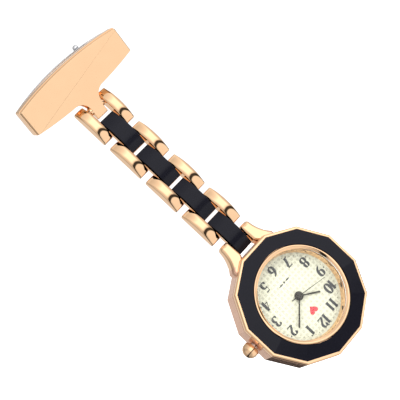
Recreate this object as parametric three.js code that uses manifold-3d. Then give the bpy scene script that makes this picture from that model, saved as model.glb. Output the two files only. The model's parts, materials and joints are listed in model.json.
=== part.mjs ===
// A fob watch: a bow-shaped brooch bar, a short chain of gold outer links and black centre links,
// and a twelve-sided quartz watch head that hangs upside down, so its wearer reads it the right way up.
//
// Millimetres, +Z up, +X to the right of someone facing the dial, and the dial faces -Y.
// The watch hangs plumb at rest. The origin is the middle of the brooch's pin wire, which holds it up.

import * as THREE from 'three';
import { mergeVertices } from 'three/addons/utils/BufferGeometryUtils.js';
import Module from 'manifold-3d';

const wasm = await Module();
wasm.setup();

// ---- driving dimensions ----

const runningGap = 0.05; // between a pin and its hole, and between parts that are pressed together
const hingeSpacing = 5.25; // from one hinge pin of the chain to the next
const linkEnd = 1.95; // from a hinge pin to the end of an outer link
const centreEnd = 2.27; // from a hinge pin to the end of a centre link, and of the brooch's tongue
const linkPairs = 4; // outer pairs, and as many centre links
const outerInner = 2.15; // from the chain's middle to the inner side of an outer link
const outerWidth = 2.5;
const centreWidth = 3.9;
const pinRadius = 0.45;

const barLength = 28.6;
const barEndHeight = 6.4;
const barTopRise = 1.2; // how much higher the bar is in its middle, above and below
const barBottomDrop = 1.1;
const barDepth = 2.4;
const barWall = 0.6;
const wireAboveBar = 0.9; // the pin wire runs above the bar's middle line
const wireBehindPlate = 1.8; // from the pin wire to the back plate
const backPlateThickness = 0.45;
const tongueLength = 7.3; // from the bar's middle line to its hinge pin
const knuckleRadius = 0.95;
const knuckleWidth = 3.8;

const caseFlats = 28.7; // across two opposite sides of the twelve
const enamelFlats = 27.3;
const lugPinToCentre = 17.3;
const ringOuterRadius = 10.7;
const ringOpeningRadius = 9.8;
const boreRadius = 11.4;
const stemDepth = 1.1; // how far the stem's axis is behind the middle of the case

// depths through the case, from the front to the back
const ringFront = -3.75;
const bezelFront = -3.4;
const bezelBack = -2.25;
const caseFront = -2.2;
const dialFront = -0.95;
const dialThickness = 0.4;
const caseBackFront = 3.0;
const caseBackFace = 3.9;

// hands: the time shown is about 10:08:47
const hourTurn = 304.6;
const minuteTurn = 50.0;
const secondTurn = 282.0;
const handThickness = 0.12;

// ---- places that follow from them ----

const wireToHingeBack = wireBehindPlate + backPlateThickness + runningGap + barDepth - knuckleRadius;
const wireToHingeDown = wireAboveBar + tongueLength;
const broochLean = Math.atan2(wireToHingeBack, wireToHingeDown); // puts the chain straight below the wire
const chainTop = -Math.hypot(wireToHingeBack, wireToHingeDown);
const lugPinHeight = chainTop - 2 * linkPairs * hingeSpacing;
const caseHeight = lugPinHeight - lugPinToCentre;
const holeRadius = pinRadius + runningGap;
const cornerRatio = 1 / Math.cos(Math.PI / 12); // a twelve-sided shape's corner radius over its flat radius

// ---- materials ----

const finish = (color, roughness, metalness, more = {}) =>
  new THREE.MeshStandardMaterial({ color, roughness, metalness, ...more });

const roseGold = finish(0xf0c09a, 0.15, 1);
const steel = finish(0xc8c8cc, 0.25, 1);
const blackEnamel = finish(0x0c0c10, 0.12, 0.1);
const brass = finish(0xc9a560, 0.35, 1);
const ivory = finish(0xf4f0e8, 0.5, 0);
const darkHand = finish(0x332b28, 0.4, 0.6);
const clearGlass = finish(0xffffff, 0.02, 0, { transparent: true, opacity: 0.2 });
const nylon = finish(0xe8e8e0, 0.5, 0);
const rubber = finish(0x151515, 0.8, 0);
const copper = finish(0xb5602c, 0.35, 1);
const greenBoard = finish(0x1e5b3a, 0.5, 0);

// ---- geometry helpers ----

// A closed mesh as a solid that can be cut and joined. What is already a solid stays as it is.
function solid(geometry) {
  if (geometry instanceof wasm.Manifold) return geometry;
  const bare = geometry.clone();
  bare.deleteAttribute('normal');
  bare.deleteAttribute('uv');
  const merged = mergeVertices(bare, 1e-4);
  const corners = merged.index.array;
  const faces = [];
  for (let i = 0; i < corners.length; i += 3) {
    const [a, b, c] = corners.slice(i, i + 3);
    if (a !== b && b !== c && a !== c) faces.push(a, b, c);
  }
  return new wasm.Manifold(new wasm.Mesh({
    numProp: 3,
    vertProperties: new Float32Array(merged.attributes.position.array),
    triVerts: new Uint32Array(faces),
  }));
}

function geometryOf(body) {
  if (body instanceof THREE.BufferGeometry) return body;
  const { vertProperties, triVerts } = body.getMesh();
  const geometry = new THREE.BufferGeometry();
  geometry.setAttribute('position', new THREE.BufferAttribute(new Float32Array(vertProperties), 3));
  geometry.setIndex(Array.from(triVerts));
  geometry.computeVertexNormals();
  return geometry;
}

const cut = (base, ...tools) => tools.reduce((body, tool) => body.subtract(solid(tool)), solid(base));
const join = (base, ...more) => more.reduce((body, piece) => body.add(solid(piece)), solid(base));

// An extrusion whose bevel stays inside its outline and its depth.
function extrude(shape, depth, bevel, curveSegments = 4) {
  const geometry = new THREE.ExtrudeGeometry(shape, {
    depth: depth - 2 * bevel,
    bevelEnabled: bevel > 0,
    bevelThickness: bevel,
    bevelSize: bevel,
    bevelOffset: -bevel,
    bevelSegments: 2,
    curveSegments,
  });
  return geometry.translate(0, 0, bevel);
}

const axisX = new THREE.Vector3(1, 0, 0);
const axisY = new THREE.Vector3(0, 1, 0);
const axisZ = new THREE.Vector3(0, 0, 1);

// A side profile of (y, z) points, extruded along X and centred on it.
function sideExtrusion(shape, width, bevel) {
  const geometry = extrude(shape, width, bevel).translate(0, 0, -width / 2);
  return geometry.applyMatrix4(new THREE.Matrix4().makeBasis(axisY, axisZ, axisX));
}

// A front outline of (x, z) points, extruded towards the front from backY to frontY.
function frontExtrusion(shape, backY, frontY, bevel = 0) {
  const geometry = extrude(shape, backY - frontY, bevel);
  geometry.applyMatrix4(new THREE.Matrix4().makeBasis(axisX, axisZ, axisY.clone().negate()));
  return geometry.translate(0, backY, 0);
}

// A section of [radius, y] points, turned about the Y axis. A solid one starts and ends on the axis.
function turned(section, sides = 48, start = 0) {
  const points = section.map(([radius, y]) => new THREE.Vector2(radius, y));
  if (THREE.ShapeUtils.area(points) < 0) points.reverse();
  if (points.every((point) => point.x > 0)) points.push(points[0].clone());
  return new THREE.LatheGeometry(points, sides, start);
}

const twelveSided = (section) => turned(section, 12, Math.PI / 12);
const disc = (radius, front, back, sides = 48) =>
  turned([[0, front], [radius, front], [radius, back], [0, back]], sides);
const band = (inner, outer, front, back, sides = 48) =>
  turned([[inner, front], [outer, front], [outer, back], [inner, back]], sides);
const rodX = (radius, length, sides = 16) =>
  new THREE.CylinderGeometry(radius, radius, length, sides).rotateZ(Math.PI / 2);
const rodZ = (radius, length, sides = 16) =>
  new THREE.CylinderGeometry(radius, radius, length, sides).rotateX(Math.PI / 2);
const block = (x, y, z) => new THREE.BoxGeometry(x, y, z);

function outline(points) {
  const shape = new THREE.Shape();
  shape.setFromPoints(points.map(([a, b]) => new THREE.Vector2(a, b)));
  return shape;
}

const group = new THREE.Group();

function add(parent, name, shape, material, x = 0, y = 0, z = 0) {
  const mesh = new THREE.Mesh(geometryOf(shape), material);
  mesh.name = name;
  mesh.position.set(x, y, z);
  parent.add(mesh);
  return mesh;
}

function place(x, y, z) {
  const holder = new THREE.Group();
  holder.position.set(x, y, z);
  group.add(holder);
  return holder;
}

// ---- brooch: everything here is in the bar's own frame, which leans forward about the pin wire ----

const brooch = new THREE.Group();
brooch.rotation.x = broochLean;
group.add(brooch);

const plateBack = -wireBehindPlate;
const plateFront = plateBack - backPlateThickness;
const barBack = plateFront - runningGap;
const barFront = barBack - barDepth;
const barMiddle = -wireAboveBar;
const hingeY = -wireToHingeBack;
const hingeZ = -wireToHingeDown;

// The bow: square ends, with the top and the bottom edge swelling towards the middle.
function bowShape(inset, extraTop = 0) {
  const halfLength = barLength / 2 - inset;
  const halfEnd = barEndHeight / 2 - inset;
  const top = halfEnd + barTopRise + extraTop;
  const bottom = -halfEnd - barBottomDrop;
  const round = 0.5;
  const shape = new THREE.Shape();
  shape.moveTo(-halfLength + round, -halfEnd);
  shape.quadraticCurveTo(-halfLength / 2, bottom, 0, bottom);
  shape.quadraticCurveTo(halfLength / 2, bottom, halfLength - round, -halfEnd);
  shape.quadraticCurveTo(halfLength, -halfEnd, halfLength, -halfEnd + round);
  shape.lineTo(halfLength, halfEnd - round);
  shape.quadraticCurveTo(halfLength, halfEnd, halfLength - round, halfEnd);
  shape.quadraticCurveTo(halfLength / 2, top, 0, top);
  shape.quadraticCurveTo(-halfLength / 2, top, -halfLength + round, halfEnd);
  shape.quadraticCurveTo(-halfLength, halfEnd, -halfLength, halfEnd - round);
  shape.lineTo(-halfLength, -halfEnd + round);
  shape.quadraticCurveTo(-halfLength, -halfEnd, -halfLength + round, -halfEnd);
  return shape;
}

// The tongue narrows from the bar's lower edge to the knuckle that the first hinge pin goes through.
function tongueShape() {
  const rootZ = -barEndHeight / 2;
  const endZ = -tongueLength;
  const rootHalf = 4.4;
  const neckHalf = 1.5;
  const buried = 0.8; // how far the tongue's root reaches up inside the bar
  const shape = new THREE.Shape();
  shape.moveTo(-rootHalf, rootZ + buried);
  shape.lineTo(-rootHalf, rootZ);
  shape.quadraticCurveTo(-neckHalf - 0.5, rootZ - 1.0, -neckHalf, endZ + knuckleRadius);
  shape.lineTo(-neckHalf, endZ);
  shape.lineTo(neckHalf, endZ);
  shape.lineTo(neckHalf, endZ + knuckleRadius);
  shape.quadraticCurveTo(neckHalf + 0.5, rootZ - 1.0, rootHalf, rootZ);
  shape.lineTo(rootHalf, rootZ + buried);
  shape.closePath();
  return shape;
}

// The tip in side view: it goes on from the knuckle in the chain's direction, as a link's end does.
function tipShape() {
  const back = 0.75;
  const front = -knuckleRadius + 0.02;
  const endFront = -0.3;
  const round = 0.45;
  const shape = new THREE.Shape();
  shape.moveTo(back, -centreEnd + round);
  shape.lineTo(back, 0);
  shape.lineTo(front, 0);
  shape.quadraticCurveTo(front, -centreEnd * 0.6, endFront - 0.1, -centreEnd + round);
  shape.quadraticCurveTo(endFront, -centreEnd, endFront + round, -centreEnd);
  shape.lineTo(back - round, -centreEnd);
  shape.quadraticCurveTo(back, -centreEnd, back, -centreEnd + round);
  return shape;
}

function broochBar() {
  const cover = frontExtrusion(bowShape(0), barBack, barFront, 0.3).translate(0, 0, barMiddle);
  const inside = frontExtrusion(bowShape(barWall), barBack + 1, barFront + barWall);
  const hollow = inside.translate(0, 0, barMiddle);
  const tongueBack = barFront + 1.0;
  const tongue = frontExtrusion(tongueShape(), tongueBack, barFront + 0.04, 0.2).translate(0, 0, barMiddle);
  const knuckle = rodX(knuckleRadius, knuckleWidth, 24).translate(0, hingeY, hingeZ);
  const tip = sideExtrusion(tipShape(), knuckleWidth, 0.2).rotateX(-broochLean).translate(0, hingeY, hingeZ);
  const pinHole = rodX(holeRadius, knuckleWidth + 2).translate(0, hingeY, hingeZ);
  return cut(join(cut(cover, hollow), tongue, knuckle, tip), pinHole);
}

add(brooch, 'brooch_bar', broochBar(), roseGold);

const backPlateLift = 0.35; // the back plate shows as a sliver over the top of the bar's middle
const backPlate = frontExtrusion(bowShape(0.1, backPlateLift), plateBack, plateFront);
add(brooch, 'brooch_back_plate', backPlate, steel, 0, 0, barMiddle);

// pin hinge: two ears on a foot, an eye between them, and a rivet through all three
const pinHingeX = -9.0;
const wireRadius = 0.35;
const eyeRadius = 0.85;
const eyeHeight = 1.1;
const earThickness = 0.45;
const earHalfLength = 0.95;
const rivetRadius = 0.32;
const footFront = plateBack + runningGap;
const footThickness = 0.35;

function hingeBracket() {
  const innerZ = eyeHeight / 2 + runningGap;
  const foot = block(2.6, footThickness, 2 * (innerZ + earThickness));
  foot.translate(0, footFront + footThickness / 2, 0);
  const earLength = earHalfLength - footFront;
  const ears = [1, -1].map((side) => {
    const ear = block(2 * earHalfLength, earLength, earThickness);
    return ear.translate(0, footFront + earLength / 2, side * (innerZ + earThickness / 2));
  });
  return cut(join(foot, ...ears), rodZ(rivetRadius + runningGap, 6));
}

add(brooch, 'pin_hinge_bracket', hingeBracket(), steel, pinHingeX);

const rivetLength = eyeHeight + 2 * (earThickness + runningGap) + 0.4;
add(brooch, 'pin_hinge_rivet', rodZ(rivetRadius, rivetLength), steel, pinHingeX);

const wireEnd = 9.4; // the point of the pin, past the catch
const pointLength = 2.6;

function pinWire() {
  const eye = rodZ(eyeRadius, eyeHeight, 24);
  const length = wireEnd - pinHingeX;
  const shaft = new THREE.Vector2(wireRadius, length - pointLength);
  const section = [[0, 0], [wireRadius, 0], [shaft.x, shaft.y], [0.06, length], [0, length]];
  const wire = turned(section, 16).rotateZ(-Math.PI / 2);
  return cut(join(eye, wire), rodZ(rivetRadius + runningGap, 6));
}

add(brooch, 'pin_wire', pinWire(), steel, pinHingeX);

// safety catch: a C-shaped housing with a slotted roller in it, turned by a lever with a ball on its end
const catchX = 6.2;
const catchLength = 2.2;
const housingOuter = 1.6;
const rollerOuter = 1.1;
const rollerBore = 0.45;
const knobRadius = 0.68;
const knobReach = 3.4;
const mouthFrom = -15; // degrees back from straight up: the housing is open between these two
const mouthTo = 145;
const rollerSlot = -40; // where the roller's slot is while the catch is shut

// A wedge that opens towards the angles from one to the other, measured from +Z towards +Y.
function wedge(from, to, reach, length) {
  const steps = 6;
  const points = [[0, 0]];
  for (let i = 0; i <= steps; i += 1) {
    const angle = THREE.MathUtils.degToRad(from + ((to - from) * i) / steps);
    points.push([reach * Math.sin(angle), reach * Math.cos(angle)]);
  }
  return sideExtrusion(outline(points.reverse()), length, 0);
}

function tubeX(inner, outer, length, sides) {
  return band(inner, outer, -length / 2, length / 2, sides).rotateZ(Math.PI / 2);
}

function catchHousing() {
  const shell = tubeX(rollerOuter + runningGap, housingOuter, catchLength, 32);
  const opened = cut(shell, wedge(mouthFrom, mouthTo, 4, catchLength + 1));
  const footDepth = -1.3 - footFront;
  const foot = block(catchLength, footDepth, 2.2).translate(0, footFront + footDepth / 2, 0);
  return join(opened, cut(foot, rodX(rollerOuter + 2 * runningGap, catchLength + 1, 32)));
}

function catchRoller() {
  const roller = tubeX(rollerBore, rollerOuter, catchLength, 32);
  const angle = THREE.MathUtils.degToRad(rollerSlot);
  const slot = block(catchLength + 1, 2 * rollerBore, 2).translate(0, 0, 1).rotateX(-angle);
  return cut(roller, slot);
}

function catchLever() {
  const armFrom = rollerOuter + runningGap;
  const armLength = knobReach - armFrom;
  const arm = block(1.0, 0.42, armLength).translate(0, 0, armFrom + armLength / 2);
  const knob = new THREE.SphereGeometry(knobRadius, 20, 14).translate(0, 0, knobReach);
  return join(knob, arm);
}

add(brooch, 'catch_housing', catchHousing(), steel, catchX);
add(brooch, 'catch_roller', catchRoller(), steel, catchX);
add(brooch, 'catch_lever', catchLever(), steel, catchX);

// ---- chain ----

const linkRound = 0.45; // the rounding of a link's ends

// The side view of every link: a flat back, and a front that arches from end to end.
function linkProfile(end, back, frontEnd, crownFront, frontRound = linkRound) {
  const half = hingeSpacing / 2 + end;
  const archEnd = frontEnd - 0.1;
  const shape = new THREE.Shape();
  shape.moveTo(back, -half + linkRound);
  shape.lineTo(back, half - linkRound);
  shape.quadraticCurveTo(back, half, back - linkRound, half);
  shape.lineTo(frontEnd + frontRound, half);
  shape.quadraticCurveTo(frontEnd, half, archEnd, half - linkRound);
  shape.quadraticCurveTo(crownFront, half * 0.5, crownFront, 0);
  shape.quadraticCurveTo(crownFront, -half * 0.5, archEnd, -half + linkRound);
  shape.quadraticCurveTo(frontEnd, -half, frontEnd + frontRound, -half);
  shape.lineTo(back - linkRound, -half);
  shape.quadraticCurveTo(back, -half, back, -half + linkRound);
  return shape;
}

const endFront = -0.35; // how far a link's front stands forward of its pins at the link's ends
const centreCrown = -1.4;
const enamelDepth = 0.3; // the enamel covers the whole arched face and the upper part of the ends
const enamelGap = 0.03;
const goldSetBack = enamelDepth + enamelGap;
const outerProfile = linkProfile(linkEnd, 1.1, endFront, -1.75);
const centreProfile = linkProfile(centreEnd, 0.85, endFront + goldSetBack, centreCrown + goldSetBack, 0.1);
const blindDepth = 1.7; // how deep a hinge pin goes into an outer link
const pinLength = 2 * (outerInner + blindDepth - 0.1);
const hingeOffsets = [hingeSpacing / 2, -hingeSpacing / 2];

function outerLink(side) {
  const bar = sideExtrusion(outerProfile, outerWidth, 0.3);
  const inner = -side * (outerWidth / 2 - blindDepth / 2 + 0.5);
  const holes = hingeOffsets.map((z) => rodX(holeRadius, blindDepth + 1).translate(inner, 0, z));
  return cut(bar, ...holes);
}

function centreLink() {
  const bar = sideExtrusion(centreProfile, centreWidth, 0.1);
  const holes = hingeOffsets.map((z) => rodX(holeRadius, centreWidth + 1).translate(0, 0, z));
  return cut(bar, ...holes);
}

// The enamel in side view: a thin arch that lies on the centre link's front.
function enamelShape() {
  const half = hingeSpacing / 2 + centreEnd;
  const archHalf = half - linkRound;
  const archEnd = endFront - 0.1;
  const under = centreCrown + enamelDepth;
  const shape = new THREE.Shape();
  shape.moveTo(endFront + enamelDepth, half);
  shape.quadraticCurveTo(endFront, half, archEnd, archHalf);
  shape.quadraticCurveTo(centreCrown, half * 0.5, centreCrown, 0);
  shape.quadraticCurveTo(centreCrown, -half * 0.5, archEnd, -archHalf);
  shape.quadraticCurveTo(endFront, -half, endFront + enamelDepth, -half);
  shape.lineTo(archEnd + enamelDepth, -archHalf);
  shape.quadraticCurveTo(under, -half * 0.5, under, 0);
  shape.quadraticCurveTo(under, half * 0.5, archEnd + enamelDepth, archHalf);
  shape.closePath();
  return shape;
}

const outerX = outerInner + outerWidth / 2;

for (let k = 1; k <= linkPairs; k += 1) {
  const upperPin = chainTop - 2 * (k - 1) * hingeSpacing;
  const outerHeight = upperPin - hingeSpacing / 2;
  const outer = place(0, 0, outerHeight);
  add(outer, `outer_link_left_${k}`, outerLink(-1), roseGold, -outerX);
  add(outer, `outer_link_right_${k}`, outerLink(1), roseGold, outerX);
  add(outer, `link_pin_upper_${k}`, rodX(pinRadius, pinLength), steel, 0, 0, hingeSpacing / 2);
  add(outer, `link_pin_lower_${k}`, rodX(pinRadius, pinLength), steel, 0, 0, -hingeSpacing / 2);
  const centre = place(0, 0, outerHeight - hingeSpacing);
  add(centre, `centre_link_${k}`, centreLink(), roseGold);
  add(centre, `centre_enamel_${k}`, sideExtrusion(enamelShape(), centreWidth, 0), blackEnamel);
}

// ---- watch head: the case's middle is this frame's origin, and its axis is Y ----

const head = place(0, 0, caseHeight);
const flatRadius = caseFlats / 2;
const lugPinReach = 3.75; // from the middle to the end of the lug pin
add(head, 'lug_pin', rodX(pinRadius, 2 * lugPinReach), steel, 0, 0, lugPinToCentre);

// One lug, to the right of the chain, in front view and measured from the lug pin.
function lugShape(side) {
  const shape = new THREE.Shape();
  shape.moveTo(side * outerInner, -2.4);
  shape.lineTo(side * outerInner, 1.2);
  shape.quadraticCurveTo(side * outerInner, 1.8, side * 2.8, 1.85);
  shape.lineTo(side * 3.7, 1.85);
  shape.quadraticCurveTo(side * 4.5, 1.8, side * 4.6, 1.0);
  shape.quadraticCurveTo(side * 4.8, -1.6, side * 6.6, -3.6);
  shape.lineTo(side * 6.6, -5.2);
  shape.lineTo(side * 3.0, -5.2);
  shape.lineTo(side * 3.0, -3.4);
  return shape;
}

const lugTipHalf = 1.35; // half of a lug's thickness at its tip, which grows towards the case
const lugTaper = 0.6;
const lugLength = 7.05;

function lug(side) {
  const shape = frontExtrusion(lugShape(side), lugTipHalf, -lugTipHalf, 0.3);
  const places = shape.attributes.position;
  for (let i = 0; i < places.count; i += 1) {
    const fromTip = (1.85 - places.getZ(i)) / lugLength;
    places.setY(i, places.getY(i) * (1 + lugTaper * fromTip));
  }
  return shape.translate(0, 0, lugPinToCentre);
}

const crownTubeRadius = 0.95;
const stemRadius = 0.5;

function caseMiddle() {
  const backFlat = flatRadius - 0.5;
  const section = [
    [0, caseFront],
    [(flatRadius - 0.15) * cornerRatio, caseFront],
    [flatRadius * cornerRatio, caseFront + 0.25],
    [flatRadius * cornerRatio, caseBackFront - 0.6],
    [backFlat * cornerRatio, caseBackFront],
    [0, caseBackFront],
  ];
  const bore = disc(boreRadius, caseFront - 1, caseBackFront + 1);
  const pinHole = rodX(holeRadius, 2 * (lugPinReach + runningGap)).translate(0, 0, lugPinToCentre);
  const tubeHole = rodX(crownTubeRadius + runningGap, 6).translate(-flatRadius, stemDepth, 0);
  return cut(join(twelveSided(section), lug(1), lug(-1)), bore, pinHole, tubeHole);
}

add(head, 'case_middle', caseMiddle(), roseGold);

// bezel: a twelve-sided frame with a shallow bed for the enamel, and a round seat for the crystal's ring
const enamelBed = bezelFront + 0.5;

function bezel() {
  const section = [
    [0, bezelBack],
    [(flatRadius - 0.05) * cornerRatio, bezelBack],
    [(flatRadius - 0.05) * cornerRatio, bezelFront + 0.3],
    [(flatRadius - 0.3) * cornerRatio, bezelFront],
    [0, bezelFront],
  ];
  const enamelRadius = (enamelFlats / 2) * cornerRatio;
  const above = bezelFront - 1;
  const bed = twelveSided([[0, above], [enamelRadius, above], [enamelRadius, enamelBed], [0, enamelBed]]);
  const seat = disc(ringOuterRadius + runningGap, above, bezelBack + 1);
  return cut(twelveSided(section), bed, seat);
}

function bezelEnamel() {
  const outer = (enamelFlats / 2 - runningGap) * cornerRatio;
  const front = bezelFront + 0.08;
  const back = enamelBed - runningGap;
  const plate = twelveSided([[0, back], [outer, back], [outer, front], [0, front]]);
  return cut(plate, disc(ringOuterRadius + runningGap, front - 1, back + 1));
}

add(head, 'bezel', bezel(), roseGold);
add(head, 'bezel_enamel', bezelEnamel(), blackEnamel);

// the round ring that holds the crystal: a rounded front, with a lip over the crystal's edge
const seatRadius = 10.3;
const lipBack = ringFront + 0.35;

function crystalRing() {
  const section = [
    [ringOuterRadius, bezelBack],
    [ringOuterRadius, ringFront + 0.3],
    [ringOuterRadius - 0.1, ringFront + 0.1],
    [ringOuterRadius - 0.35, ringFront],
    [ringOuterRadius - 0.6, ringFront],
    [ringOpeningRadius + 0.12, ringFront + 0.1],
    [ringOpeningRadius, lipBack - 0.05],
    [ringOpeningRadius, lipBack],
    [seatRadius, lipBack],
    [seatRadius, bezelBack],
  ];
  return turned(section);
}

const crystalFront = lipBack + runningGap;
const crystalThickness = 0.9;
const crystalRadius = 10.0;
add(head, 'crystal_ring', crystalRing(), roseGold);
add(head, 'crystal', disc(crystalRadius, crystalFront, crystalFront + crystalThickness), clearGlass);
const gasketBack = crystalFront + crystalThickness;
const gasket = band(crystalRadius + runningGap, seatRadius - runningGap, crystalFront, gasketBack);
add(head, 'crystal_gasket', gasket, nylon);

// the sloping ring between the crystal and the dial
const dialRadius = 10.9;
const rehautFront = bezelBack + runningGap;
const rehautBack = dialFront - runningGap;
const rehautSection = [
  [ringOpeningRadius + 0.05, rehautFront],
  [boreRadius - 0.3, rehautFront],
  [boreRadius - 0.3, rehautBack],
  [ringOpeningRadius - 0.3, rehautBack],
];
add(head, 'rehaut_ring', turned(rehautSection), roseGold);

const dialBack = dialFront + dialThickness;
const dialHoleRadius = 0.95;
add(head, 'dial', band(dialHoleRadius, dialRadius, dialFront, dialBack), ivory);

// movement: a plastic holder, the main plate with its stem groove, and the quartz parts behind it
const movementFront = dialBack + runningGap;
const movementRadius = 9.2;
const mainPlateBack = 1.65;
const holderBack = caseBackFront - 0.5;
const grooveHalf = stemRadius + 0.1;

const batteryRadius = 3.4;
const batteryX = 4.2;
const batteryZ = -3.0;
const batteryFront = 0.75;
const batteryBack = batteryFront + 1.95;

function movementHolder() {
  const ring = band(movementRadius + runningGap, boreRadius - 0.1, movementFront, holderBack);
  return cut(ring, rodX(grooveHalf, 4).translate(-10.3, stemDepth, 0));
}

function mainPlate() {
  const plate = band(dialHoleRadius, movementRadius, movementFront, mainPlateBack, 48);
  const groove = block(5, 2 * grooveHalf, 2 * grooveHalf).translate(-movementRadius, stemDepth, 0);
  const pocket = disc(batteryRadius + 0.1, batteryFront - runningGap, mainPlateBack + 1, 32);
  return cut(plate, groove, pocket.translate(batteryX, 0, batteryZ));
}

add(head, 'movement_holder', movementHolder(), nylon);
add(head, 'movement_main_plate', mainPlate(), brass);

const layerFront = mainPlateBack + runningGap;
const strapThickness = 0.15;
const strapY = batteryBack + runningGap + strapThickness / 2;
add(head, 'battery', disc(batteryRadius, batteryFront, batteryBack, 32), steel, batteryX, 0, batteryZ);
add(head, 'battery_strap', block(7.6, strapThickness, 1.8), steel, batteryX, strapY, batteryZ);
add(head, 'motor_coil', rodX(0.5, 7.0, 20), copper, 3.4, layerFront + 0.55, 4.6);
add(head, 'circuit_board', block(4.2, 0.35, 6.0), greenBoard, -4.9, layerFront + 0.175, -2.0);
add(head, 'movement_train_bridge', block(7.0, 0.9, 2.8), brass, -3.6, layerFront + 0.45, 4.2);

// case back: a round pressed-on cover with a flat face, and the gasket in its rim
const caseBackRadius = 12.6;
const backSkirt = caseBackFront + runningGap;

function caseBack() {
  const section = [
    [0, backSkirt],
    [caseBackRadius, backSkirt],
    [caseBackRadius, caseBackFace - 0.45],
    [caseBackRadius - 0.5, caseBackFace],
    [0, caseBackFace],
  ];
  return turned(section);
}

add(head, 'case_back', caseBack(), steel);
const gasketFront = holderBack + runningGap;
const backGasket = band(boreRadius - 0.9, boreRadius - 0.2, gasketFront, caseBackFront - runningGap);
add(head, 'case_back_gasket', backGasket, rubber);

// ---- hands: each is drawn pointing at 12, which is down, and turned clockwise as the wearer reads it ----

const hourFront = dialFront - 0.32;
const minuteFront = hourFront - 0.28;
const secondFront = minuteFront - 0.28;
const pipeBack = movementFront + 0.4;
const pipeWall = 0.2;
const secondPivotRadius = 0.24;
const minutePipeInner = secondPivotRadius + runningGap;
const hourPipeInner = minutePipeInner + pipeWall + runningGap;

// A blade with its hub and pipe. The section below the hub fits over the next pivot in.
function addHand(name, { front, points, hubRadius, bore, pipeOuter, turn }) {
  const blade = frontExtrusion(outline(points), front + handThickness, front);
  const hub = disc(hubRadius, front, front + handThickness, 24);
  const tube = disc(pipeOuter, front + handThickness / 2, pipeBack, 24);
  const body = join(blade, hub, tube);
  const finished = bore > 0 ? cut(body, disc(bore, front - 1, pipeBack + 1, 24)) : body;
  add(head, name, finished, darkHand).rotation.y = THREE.MathUtils.degToRad(turn);
}

const hourLength = 4.95;
const minuteLength = 6.9;
const secondLength = 7.2;
const secondTail = 2.1;

const hourPoints = [[-0.3, 0], [0.3, 0], [0.42, -2.6], [0, -hourLength], [-0.42, -2.6]];
const minutePoints = [[-0.25, 0], [0.25, 0], [0.36, -3.8], [0, -minuteLength], [-0.36, -3.8]];
const secondPoints = [[-0.1, secondTail], [0.1, secondTail], [0.05, -secondLength], [-0.05, -secondLength]];

addHand('hour_hand', {
  front: hourFront,
  points: hourPoints.reverse(),
  hubRadius: 1.0,
  bore: hourPipeInner,
  pipeOuter: hourPipeInner + pipeWall,
  turn: hourTurn,
});
addHand('minute_hand', {
  front: minuteFront,
  points: minutePoints.reverse(),
  hubRadius: 0.85,
  bore: minutePipeInner,
  pipeOuter: minutePipeInner + pipeWall,
  turn: minuteTurn,
});
addHand('second_hand', {
  front: secondFront,
  points: secondPoints.reverse(),
  hubRadius: 0.55,
  bore: 0,
  pipeOuter: secondPivotRadius,
  turn: secondTurn,
});

// ---- crown, on the side that is the dial's three o'clock ----

const crownTubeOuter = flatRadius + 0.2;
const crownTubeInner = boreRadius + 0.2;
const crownTubeLength = crownTubeOuter - crownTubeInner;
const crownTube = tubeX(stemRadius + runningGap, crownTubeRadius, crownTubeLength, 24);
add(head, 'crown_tube', crownTube, steel, -(crownTubeOuter + crownTubeInner) / 2, stemDepth, 0);

const crownFrom = crownTubeOuter + 0.12;
const crownLength = 2.4;
const crownRadius = 1.75;
const crownSide = 0.8; // the straight part, from the inner side to the dome
const stemOuter = crownFrom + 0.6;

// A short cylinder with a domed outer end, and a blind hole for the stem.
function crown() {
  const steps = 8;
  const section = [[0, 0], [crownRadius - 0.15, 0], [crownRadius, 0.15]];
  for (let i = 0; i <= steps; i += 1) {
    const angle = ((Math.PI / 2) * i) / steps;
    const along = crownSide + (crownLength - crownSide) * Math.sin(angle);
    section.push([i < steps ? crownRadius * Math.cos(angle) : 0, along]);
  }
  const dome = turned(section, 24).rotateZ(Math.PI / 2);
  const hole = rodX(stemRadius + runningGap, 2 * (stemOuter - crownFrom + runningGap));
  return cut(dome, hole);
}

add(head, 'crown', crown(), roseGold, -crownFrom, stemDepth, 0);

// the stem has a neck near its inner end, and the setting lever is a fork that rides in the neck
const stemInner = 7.4;
const neckInner = 7.75;
const neckLength = 0.4;
const neckRadius = 0.28;
const leverThickness = 0.3;
const leverHalf = 0.5;

function settingStem() {
  const neckOuter = neckInner + neckLength;
  const section = [
    [0, stemInner],
    [stemRadius, stemInner],
    [stemRadius, neckInner],
    [neckRadius, neckInner],
    [neckRadius, neckOuter],
    [stemRadius, neckOuter],
    [stemRadius, stemOuter],
    [0, stemOuter],
  ];
  return turned(section, 16).rotateZ(Math.PI / 2);
}

function settingLever() {
  const plate = block(leverThickness, 2 * leverHalf, 2 * leverHalf);
  const slot = block(1, leverHalf + 1, 2 * (neckRadius + runningGap)).translate(0, (leverHalf + 1) / 2, 0);
  return cut(plate, slot, rodX(neckRadius + runningGap, 1));
}

add(head, 'setting_stem', settingStem(), steel, 0, stemDepth, 0);
add(head, 'setting_lever', settingLever(), steel, -(neckInner + neckLength / 2), stemDepth, 0);

export default group;
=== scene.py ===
"""The looks of a nurse's fob watch: rose-gold brooch, link chain and twelve-sided watch head.

Lengths in this script are in millimetres, in the CAD's frame: +Z up, +X to the right of someone who
faces the dial, and the dial faces -Y. make_piece() turns them into metres.
"""

import json
import math

import bmesh
import bpy
from mathutils import Matrix, Vector


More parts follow.
